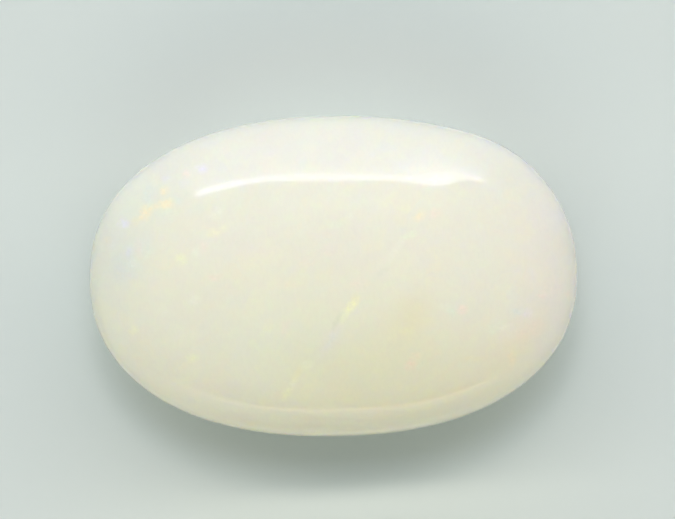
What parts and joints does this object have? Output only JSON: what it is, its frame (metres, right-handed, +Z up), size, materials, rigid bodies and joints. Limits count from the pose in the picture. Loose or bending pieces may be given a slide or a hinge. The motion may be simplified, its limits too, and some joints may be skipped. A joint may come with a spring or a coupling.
{
  "type": "loose opal",
  "caption": "Loose milky white opal, cut and polished as a thick oval cabochon that lies on a small flat in its rounded back.",
  "frame": {"origin": "on the surface that the stone lies on, under the middle of its box", "axes": "+X runs the long way of the oval, +Y the short way, and +Z up through the domed crown"},
  "size_m": [0.015, 0.0098, 0.0059],
  "materials": {
    "milky_opal": "glassy polish over a milky cream-white body, translucent, with small flecks of play of colour"
  },
  "bodies": {
    "root": {"opal": "milky_opal"}
  },
  "joints": []
}
